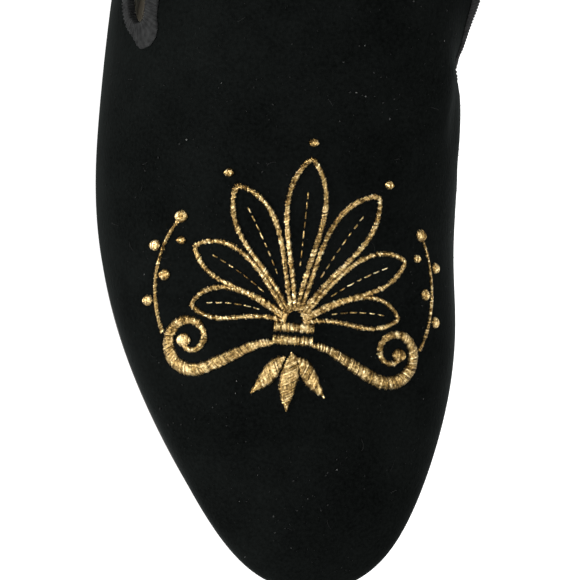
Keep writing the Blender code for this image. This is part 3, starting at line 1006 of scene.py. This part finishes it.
class Stitches:
    """Collects straight stitches as start, end, lift and how ragged their ends are."""

    def __init__(self):
        self.rows = []

    def add(self, starts, ends, lifts, ragged=RAGGED):
        count = len(starts)
        self.rows.append((starts, ends, np.broadcast_to(lifts, count), np.full((count, 1), ragged)))

    def satin(self, path, half, slant=20.0, step=SATIN_STEP, ragged=RAGGED):
        """Side-by-side stitches across a path; half is half the width at a share of its length."""
        at, share = resample(np.asarray(path, float), step)
        along = unit(np.gradient(at, axis=0))
        c, s = math.cos(math.radians(slant)), math.sin(math.radians(slant))
        across = np.stack([-along[:, 1] * c - along[:, 0] * s, along[:, 0] * c - along[:, 1] * s], -1)
        wide = np.broadcast_to(half(share), share.shape)
        reach = across * wide[:, None]
        lifts = STITCH_LIFT + SATIN_PAD * np.minimum(wide, SATIN_PAD_TO)
        self.add(at - reach, at + reach, lifts, ragged)

    def running(self, path, length, gap):
        """Stitches of a length along a path, with gaps."""
        at, _ = resample(np.asarray(path, float), RUN_STEP)
        every = int((length + gap) / RUN_STEP)
        count = int(length / RUN_STEP)
        first = np.arange(0, len(at) - count, every)
        self.add(at[first], at[first + count], STITCH_LIFT)

    def dot(self, centre, radius):
        """A round spot of satin stitch."""
        path = np.array(centre, float) + np.array([[-radius, 0], [radius, 0]])

        def half(t):
            return radius * np.sqrt(np.clip(1 - (2 * t - 1) ** 2, 0.04, 1))

        self.satin(path, half, 0.0, DOT_STEP, DOT_RAGGED)


def lobe_axis(lobe, share):
    """Middle line of a lobe, which bends outwards a little."""
    bend = np.radians(lobe.angle) * (0.85 + 0.3 * share)
    return ROOT + lobe.length * share[:, None] * np.stack([np.sin(bend), np.cos(bend)], -1)


def draw_lobe(stitches, lobe):
    """A lobe's outline in satin stitch, and its vein in running stitch."""
    share = np.linspace(LOBE_FROM, 1, LOBE_STEPS)
    axis = lobe_axis(lobe, share)
    along = unit(np.gradient(axis, axis=0))
    off = np.stack([-along[:, 1], along[:, 0]], -1)
    half = lobe.width / 2 * np.sin(math.pi * share**2.1) ** 0.75
    outline = np.concatenate([axis + off * half[:, None], (axis - off * half[:, None])[-2::-1]])
    stitches.satin(outline, lambda t: LOBE_LINE, 25.0)
    stitches.running(lobe_axis(lobe, np.linspace(*VEIN, VEIN_STEPS)), VEIN_STITCH, VEIN_GAP)


def scroll_half(t):
    """Half width of a scroll, fullest before its curl closes."""
    return 0.75 + 0.95 * np.sin(math.pi * np.clip(t * 1.25, 0, 1)) ** 0.8


def leaf_half(widest):
    """Half width of a leaf, fullest before its middle."""
    return lambda t: widest * np.sin(math.pi * t**0.8) + 0.1


def draw_ornament():
    """A palmette over two scrolls, with leaves below, buds at the sides and dots round it."""
    stitches = Stitches()
    for lobe in LOBES:
        for side in ((1, -1) if lobe.angle else (1,)):
            turned = lobe._replace(angle=side * lobe.angle)
            draw_lobe(stitches, turned)
            if lobe.angle < TIP_DOT_BELOW:
                tip = lobe_axis(turned, np.array([1 + TIP_DOT_OFF / lobe.length]))[0]
                stitches.dot(tip, TIP_DOT)
    for b in (-9.4, -12.4):
        stitches.satin([(-4.4, b), (4.4, b)], lambda t: BAND_HALF, 0.0)
    for side in (1, -1):
        mirror = np.array([side, 1.0])
        lead = bezier((4.6, -13.2), (9.5, -13.2), (13.6, -17.7), (21.4, -20.5))
        curl = spiral((24.0, -13.5), (7.5, 1.6), (-110, 350))
        scroll = np.concatenate([lead, curl[1:]]) * mirror
        stitches.satin(scroll, scroll_half, 15.0)
        stitches.dot(curl[-1] * mirror, CURL_DOT)
        tendril = bezier((31.4, -12.0), (36.0, -3.0), (34.5, 7.0), (29.6, 13.5)) * mirror
        stitches.satin(tendril, lambda t: 0.5 - 0.12 * t, 20.0)
        at, _ = resample(tendril, RUN_STEP)
        for share, out in BERRIES:
            k = int(share * (len(at) - 1))
            along = unit(at[k + 1] - at[k - 1])
            stitches.dot(at[k] + out * side * np.array([along[1], -along[0]]), BERRY)
        stitches.dot(tendril[-1] + np.array([-0.9 * side, 1.3]), BUD)
        leaf = np.array([(1.4, -16.4), (8.4, -25.2)]) * mirror
        stitches.satin(leaf, leaf_half(2.2), 30.0 * side)
    stitches.satin([(0, -15.2), (0, -29.0)], leaf_half(2.6), 30.0)
    return stitches


def thread_mesh(centres, ups, wide, high, sides):
    """Closed tubes along rows of points, with their own width and height at each point."""
    along = unit(np.gradient(centres, axis=1))
    side = unit(np.cross(along, ups))
    up = np.cross(side, along)
    turns = 2 * math.pi * np.arange(sides) / sides
    across = (wide[..., None] * np.cos(turns))[..., None] * side[:, :, None]
    rise = (high[..., None] * np.sin(turns))[..., None] * up[:, :, None]
    rings = centres[:, :, None] + across + rise
    count, length = centres.shape[:2]
    index = np.arange(count * length * sides).reshape(count, length, sides)
    a, d = index[:, :-1], index[:, 1:]
    b, c = np.roll(a, -1, axis=2), np.roll(d, -1, axis=2)
    faces = np.stack([a, d, c, b], -1).reshape(-1, 4).tolist()
    faces += index[:, 0].tolist() + index[:, -1, ::-1].tolist()
    return rings.reshape(-1, 3), faces


def join(rows):
    """Joins rows of arrays column by column."""
    return [np.concatenate(column) for column in zip(*rows)]


def paint(piece, values):
    """Stores a tone at every point of a piece, for its material."""
    field = piece.data.attributes.new(TONE, "FLOAT", "POINT")
    field.data.foreach_set("value", values.astype(np.float32))


def make_ornament():
    """The ornament's stitches laid on the vamp as threads, a little uneven."""
    rng = np.random.default_rng(STITCH_SEED)
    starts, ends, lifts, ragged = join(draw_ornament().rows)
    count = len(starts)
    lifts = lifts * rng.uniform(*LIFT_RANGE, count)
    half = np.linalg.norm(ends - starts, axis=1, keepdims=True) / 2
    reach = 1 + rng.uniform(-ragged, ragged) / np.maximum(half, 0.3)
    middle = (starts + ends) / 2
    starts = middle + (starts - middle) * reach
    ends = middle + (ends - middle) * reach
    flat = starts[:, None] + (ends - starts)[:, None] * STITCH_SHARES[None, :, None]
    points, normals = on_vamp(flat)
    arch = np.sin(math.pi * STITCH_SHARES) ** 0.55
    centres = points + normals * (lifts[:, None] * arch - STITCH_SINK * (1 - arch))[..., None]
    thick = THREAD * rng.uniform(*THREAD_RANGE, (count, 1)) * STITCH_TAPER
    at, faces = thread_mesh(centres, normals, thick, THREAD_FLAT * thick, THREAD_SIDES)
    piece = make_piece("gold_embroidery", at, faces, [GOLD_LOOK])
    # Tone per stitch: random thread colour with painted glint and shade, plus a slow drift of painted
    # reflection along the strokes
    tone = rng.normal(0.5, THREAD_TONE_AND_GLINT_SPREAD, count)
    painted_reflection = np.convolve(rng.normal(0, PAINTED_REFLECTION_DRIFT, count), np.ones(DRIFT_STITCHES), "same")
    paint(piece, np.repeat(np.clip(tone + painted_reflection, 0, 1), len(STITCH_SHARES) * THREAD_SIDES))


# Lint that clings to the velvet: tufts by x, d, spread and count, and fine dust all over
TUFTS = (
    (9.6, 115, 4, 7),
    (14.4, 112, 4, 6),
    (-29.5, 102, 3, 5),
    (22, 128, 4, 5),
    (-25, 44, 4, 6),
    (11, 30, 5, 7),
    (1, 22, 4, 5),
    (1, 14, 3, 4),
    (24, 62, 8, 6),
    (-8, 104, 8, 6),
)
TUFT_SIZE = (0.10, 0.20)
TUFT_TONE = 0.6
DUST = 1000
DUST_X = (-44, 44)
DUST_D = (4, 150)
DUST_SIZE = (0.05, 0.11)
SPECK_SHARES = np.array([-1.0, -0.5, 0.5, 1.0])
SPECK_TAPER = np.array([0.3, 1.0, 1.0, 0.3])
SPECK_LONG = 1.4
SPECK_SIDES = 5
FIBRES = 26
FIBRE_X = (-40, 42)
FIBRE_D = (6, 140)
FIBRE_CURL = (-1.6, 1.6)
FIBRE_LENGTH = (0.8, 3.2)
FIBRE_TONE = (0.5, 0.96)
FIBRE_POINTS = 7
FIBRE_SIDES = 4
FIBRE_HALF = 0.045
FIBRE_REST = 0.1
FIBRE_ARCH = 0.25
LINT_SEED = 5
LINT_SIDE_G = 0.97
LINT_MARGIN_G = 0.08


def on_velvet(x, d):
    """Whether places seen from above are on the vamp or the tongue, clear of the tape."""
    g = girth_at(x, d)
    edge = np.where(g > 0, tongue_edge(MEDIAL, d), tongue_edge(LATERAL, d)) - LINT_MARGIN_G
    return np.abs(g) < np.where(d > NOTCH[MEDIAL].d, edge, LINT_SIDE_G)


def speck_mesh(rng, x, d, size):
    """Short grains that lie on the velvet, and the tone at each of their points."""
    tone = rng.uniform(np.where(np.arange(len(x)) < len(x) - DUST, TUFT_TONE, 0.0), 1.0)
    keep = on_velvet(x, d)
    x, d, size, tone = x[keep], d[keep], size[keep], tone[keep]
    point, _, _, normal = surface_frame(creased(tongue_points), d, girth_at(x, d))
    way = unit(np.cross(normal, rng.normal(size=normal.shape)))
    reach = way[:, None] * (size[:, None] * SPECK_SHARES)[..., None] * SPECK_LONG
    centres = (point + normal * size[:, None])[:, None] + reach
    wide = size[:, None] * SPECK_TAPER
    count = len(SPECK_SHARES)
    points, faces = thread_mesh(centres, np.repeat(normal[:, None], count, 1), wide, wide, SPECK_SIDES)
    return points, faces, np.repeat(tone, count * SPECK_SIDES)


def fibre_mesh(rng, x, d):
    """Curled fibres that arch over the velvet, and how many they are."""
    keep = on_velvet(x, d)
    x, d = x[keep], d[keep]
    count = len(x)
    turn_by = rng.uniform(0, 2 * math.pi, count)
    curl = rng.uniform(*FIBRE_CURL, count)
    length = rng.uniform(*FIBRE_LENGTH, count)
    s = np.linspace(0, 1, FIBRE_POINTS)
    heading = turn_by[:, None] + curl[:, None] * s
    step = length[:, None] / (FIBRE_POINTS - 1)
    path_x = x[:, None] + np.cumsum(np.cos(heading) * step, 1)
    path_d = d[:, None] + np.cumsum(np.sin(heading) * step, 1)
    point, _, _, normal = surface_frame(creased(tongue_points), path_d, girth_at(path_x, path_d))
    centres = point + normal * (FIBRE_REST + FIBRE_ARCH * np.sin(math.pi * s))[None, :, None]
    thin = np.full(centres.shape[:2], FIBRE_HALF)
    points, faces = thread_mesh(centres, normal, thin, thin, FIBRE_SIDES)
    return points, faces, count


def make_lint():
    """All the lint as one piece: tufts, dust and fibres."""
    rng = np.random.default_rng(LINT_SEED)
    rows = []
    for x, d, spread, count in TUFTS:
        places = [rng.normal(middle, spread, count) for middle in (x, d)]
        rows.append((*places, rng.uniform(*TUFT_SIZE, count)))
    rows.append([rng.uniform(*span, DUST) for span in (DUST_X, DUST_D, DUST_SIZE)])
    fibre_places = [rng.uniform(*span, FIBRES) for span in (FIBRE_X, FIBRE_D)]
    specks, speck_faces, speck_tone = speck_mesh(rng, *join(rows))
    fibres, fibre_faces, count = fibre_mesh(rng, *fibre_places)
    faces = speck_faces + [[k + len(specks) for k in face] for face in fibre_faces]
    piece = make_piece("lint", np.concatenate([specks, fibres]), faces, [LINT_LOOK])
    fibre_tone = np.repeat(rng.uniform(*FIBRE_TONE, count), FIBRE_POINTS * FIBRE_SIDES)
    paint(piece, np.concatenate([speck_tone, fibre_tone]))


make_upper()
make_binding()
make_lining_foot()
make_sole()
make_ornament()
make_lint()


# Stage, light and camera
FLOOR_HALF = 5.0
FLOOR_TONE = 0.34
FLOOR_GLOW = 0.9
WALL_HEIGHT = 4.0
WALL_TONE = 0.0
WALL_GLOW = 1.0
WHITE = (1.0, 1.0, 1.0, 1.0)
WORLD_LIGHT = 0.25
Lamp = namedtuple("Lamp", "name place aim size power")
LAMPS = [Lamp(*row) for row in (
    ("key", (-1.4, -0.1, 0.22), (0, -0.03, 0.04), 0.4, 37),
    ("fill", (0.55, -0.65, 1.25), (0, -0.03, 0.04), 1.2, 36),
    ("back", (0.12, 1.2, 0.4), (0, 0.02, 0.04), 0.5, 9),
)]


def stage_piece(name, corners, faces, tone, glow):
    """A plain surface that belongs to the stage."""
    mesh = bpy.data.meshes.new(name)
    mesh.from_pydata(corners, [], faces)
    look = Look("pale_" + name, Roughness=0.9, Specular_IOR_Level=0.0)
    set_inputs(look.shader, Base_Color=(tone, tone, tone, 1.0))
    set_inputs(look.shader, Emission_Color=WHITE, Emission_Strength=glow)
    mesh.materials.append(look.material)
    piece = add_object(name, mesh)
    return piece


def make_stage():
    """A pale floor, and a wall far behind it that closes the view and throws no light on the shoe."""
    half = FLOOR_HALF
    low = [(-half, -half, 0), (half, -half, 0), (half, half, 0), (-half, half, 0)]
    high = [(x, y, WALL_HEIGHT) for x, y, _ in low]
    stage_piece("floor", low, [(0, 1, 2, 3)], FLOOR_TONE, FLOOR_GLOW)
    sides = [(i, (i + 1) % 4, (i + 1) % 4 + 4, i + 4) for i in range(4)]
    wall = stage_piece("wall", low + high, sides, WALL_TONE, WALL_GLOW)
    wall.visible_diffuse = False
    wall.visible_glossy = False
    wall.visible_shadow = False


def make_lights():
    """Even light all round, and round lamps that look at their aims, in metres."""
    world = bpy.data.worlds.new("studio")
    world.use_nodes = True
    set_inputs(world.node_tree.nodes["Background"], Color=WHITE, Strength=WORLD_LIGHT)
    bpy.context.scene.world = world
    for lamp in LAMPS:
        light = bpy.data.lights.new(lamp.name, "AREA")
        light.shape = "DISK"
        light.size = lamp.size
        light.energy = lamp.power
        piece = add_object(lamp.name, light)
        piece.location = lamp.place
        way = Vector(lamp.aim) - Vector(lamp.place)
        piece.rotation_euler = way.to_track_quat("-Z", "Y").to_euler()


def make_camera():
    """Camera at the photograph's angle, turned a little about its own axis."""
    angles = (CAMERA_ELEVATION, CAMERA_AZIMUTH, CAMERA_ROLL)
    elevation, azimuth, roll = map(math.radians, angles)
    back = Vector((
        math.sin(azimuth) * math.cos(elevation),
        -math.cos(azimuth) * math.cos(elevation),
        math.sin(elevation),
    ))
    right = Vector((0, 1, 0)).cross(back).normalized()
    up = back.cross(right)
    turned_right = right * math.cos(roll) + up * math.sin(roll)
    turned_up = up * math.cos(roll) - right * math.sin(roll)
    eye = Vector(place(CAMERA_TARGET)) + back * CAMERA_DISTANCE * MM
    data = bpy.data.cameras.new("photo_camera")
    data.lens = CAMERA_LENS
    data.sensor_width = SENSOR
    data.clip_start = CLIP_START
    camera = add_object("photo_camera", data)
    axes = Matrix((turned_right, turned_up, back)).transposed().to_4x4()
    camera.matrix_world = Matrix.Translation(eye) @ axes
    bpy.context.scene.camera = camera


make_stage()
make_lights()
make_camera()
bpy.context.scene.view_settings.view_transform = "Standard"
